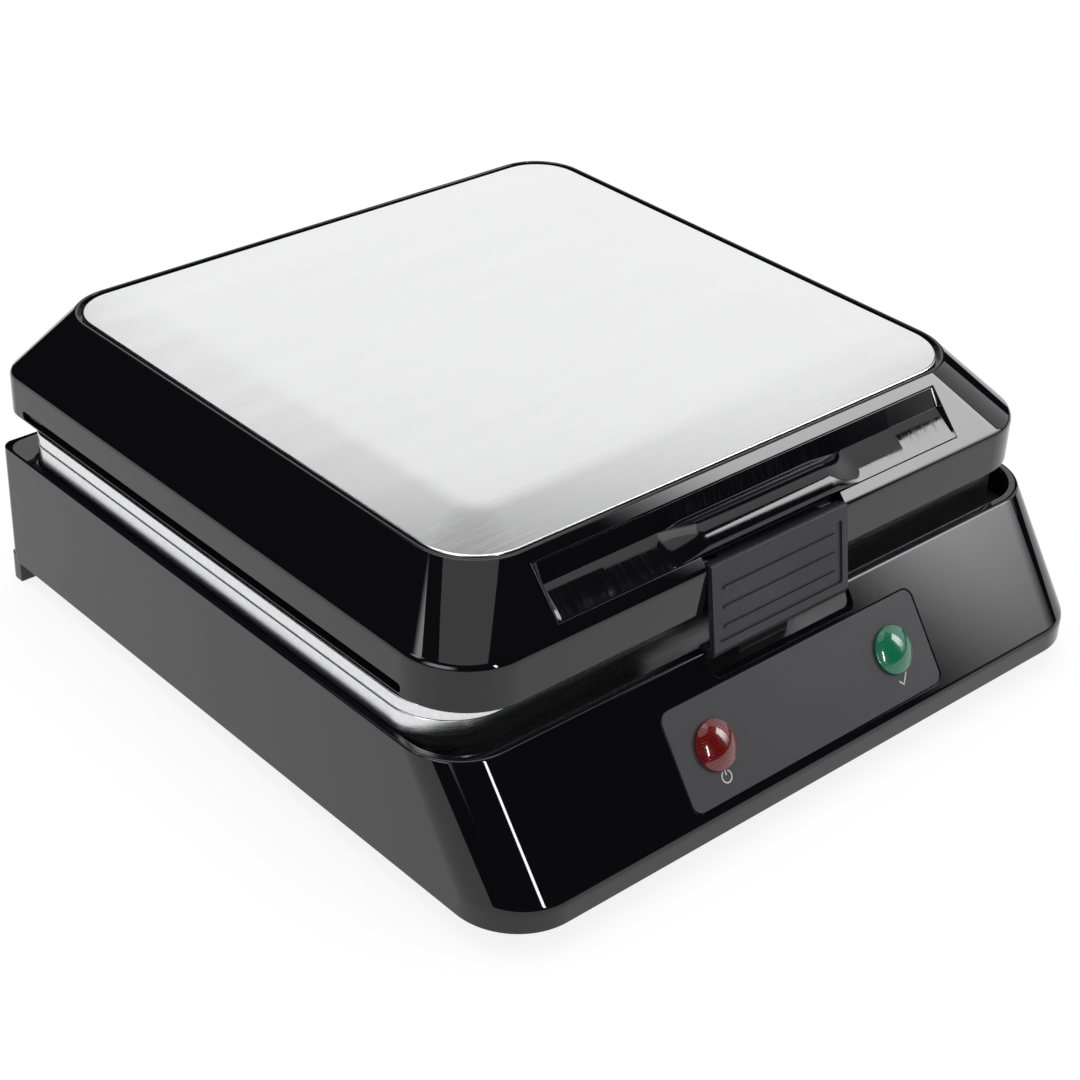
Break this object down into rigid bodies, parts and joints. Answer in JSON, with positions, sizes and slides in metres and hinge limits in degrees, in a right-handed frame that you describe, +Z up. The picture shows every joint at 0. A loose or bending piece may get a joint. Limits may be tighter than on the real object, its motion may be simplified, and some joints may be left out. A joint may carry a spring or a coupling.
{
  "type": "contact grill",
  "caption": "Low countertop cooker: a gloss black base with a sloped front panel and a hinged lid, ribbed metal plates between them, a front latch and a brushed metal top.",
  "frame": {"origin": "on the table under the middle of the box that holds the closed grill", "axes": "+X to the right as seen from the front, +Y to the rear, +Z up"},
  "size_m": [0.291, 0.298, 0.1123],
  "materials": {
    "gloss_black_shell": "high gloss",
    "satin_black": "satin",
    "panel_black": "fine grain",
    "latch_grey": "satin",
    "foot_rubber": "matt",
    "brushed_top": "brushed",
    "cast_plate": "machined rim",
    "sheet_aluminium": "pressed sheet",
    "plain_steel": "zinc plated",
    "element_sheath": "heat stained",
    "terminal_ceramic": "unglazed",
    "red_lens": "clear, domed",
    "green_lens": "clear, domed",
    "lamp_glass": "clear",
    "lead_sleeve": "woven sleeve"
  },
  "bodies": {
    "base": {"base_housing": "gloss_black_shell", "bottom_cover": "satin_black", "foot_front_left": "foot_rubber", "foot_front_right": "foot_rubber", "foot_rear_left": "foot_rubber", "foot_rear_right": "foot_rubber", "control_panel": "panel_black", "power_lens": "red_lens", "ready_lens": "green_lens", "power_neon_lamp": "lamp_glass", "ready_neon_lamp": "lamp_glass", "lower_frame": "satin_black", "lower_cooking_plate": "cast_plate", "lower_heating_element": "element_sheath", "lower_heat_shield": "sheet_aluminium", "thermostat": "plain_steel", "lower_thermal_fuse": "sheet_aluminium", "terminal_block": "terminal_ceramic", "lower_lead_live": "lead_sleeve", "lower_lead_neutral": "lead_sleeve", "cord_gland": "satin_black", "cover_screw_front_left": "plain_steel", "cover_screw_front_right": "plain_steel", "cover_screw_rear_left": "plain_steel", "cover_screw_rear_right": "plain_steel", "hinge_bracket_left": "plain_steel", "hinge_bracket_right": "plain_steel", "hinge_pin_left": "plain_steel", "hinge_pin_right": "plain_steel", "bracket_screw_left_inner": "plain_steel", "bracket_screw_left_outer": "plain_steel", "bracket_screw_right_inner": "plain_steel", "bracket_screw_right_outer": "plain_steel"},
    "lid": {"lid_housing": "gloss_black_shell", "lid_handle": "gloss_black_shell", "steel_top_plate": "brushed_top", "upper_frame": "satin_black", "upper_cooking_plate": "cast_plate", "upper_heating_element": "element_sheath", "upper_heat_shield": "sheet_aluminium", "upper_thermal_fuse": "sheet_aluminium", "upper_lead_live": "lead_sleeve", "upper_lead_neutral": "lead_sleeve", "hinge_arm_left": "plain_steel", "hinge_arm_right": "plain_steel", "arm_screw_left": "plain_steel", "arm_screw_right": "plain_steel", "lid_screw_front_left": "plain_steel", "lid_screw_front_right": "plain_steel", "lid_screw_rear_left": "plain_steel", "lid_screw_rear_right": "plain_steel", "latch_pin": "plain_steel", "latch_spring": "plain_steel"},
    "latch": {"latch": "latch_grey"}
  },
  "joints": [
    {"name": "lid_hinge", "type": "hinge", "parent": "base", "child": "lid", "pos_m": [0, 0.142, 0.0658], "axis": [-1, 0, 0], "range_deg": [0, 100]},
    {"name": "latch_hinge", "type": "hinge", "parent": "lid", "child": "latch", "pos_m": [0, -0.1089, 0.0861], "axis": [-1, 0, 0], "range_deg": [0, 20]}
  ]
}
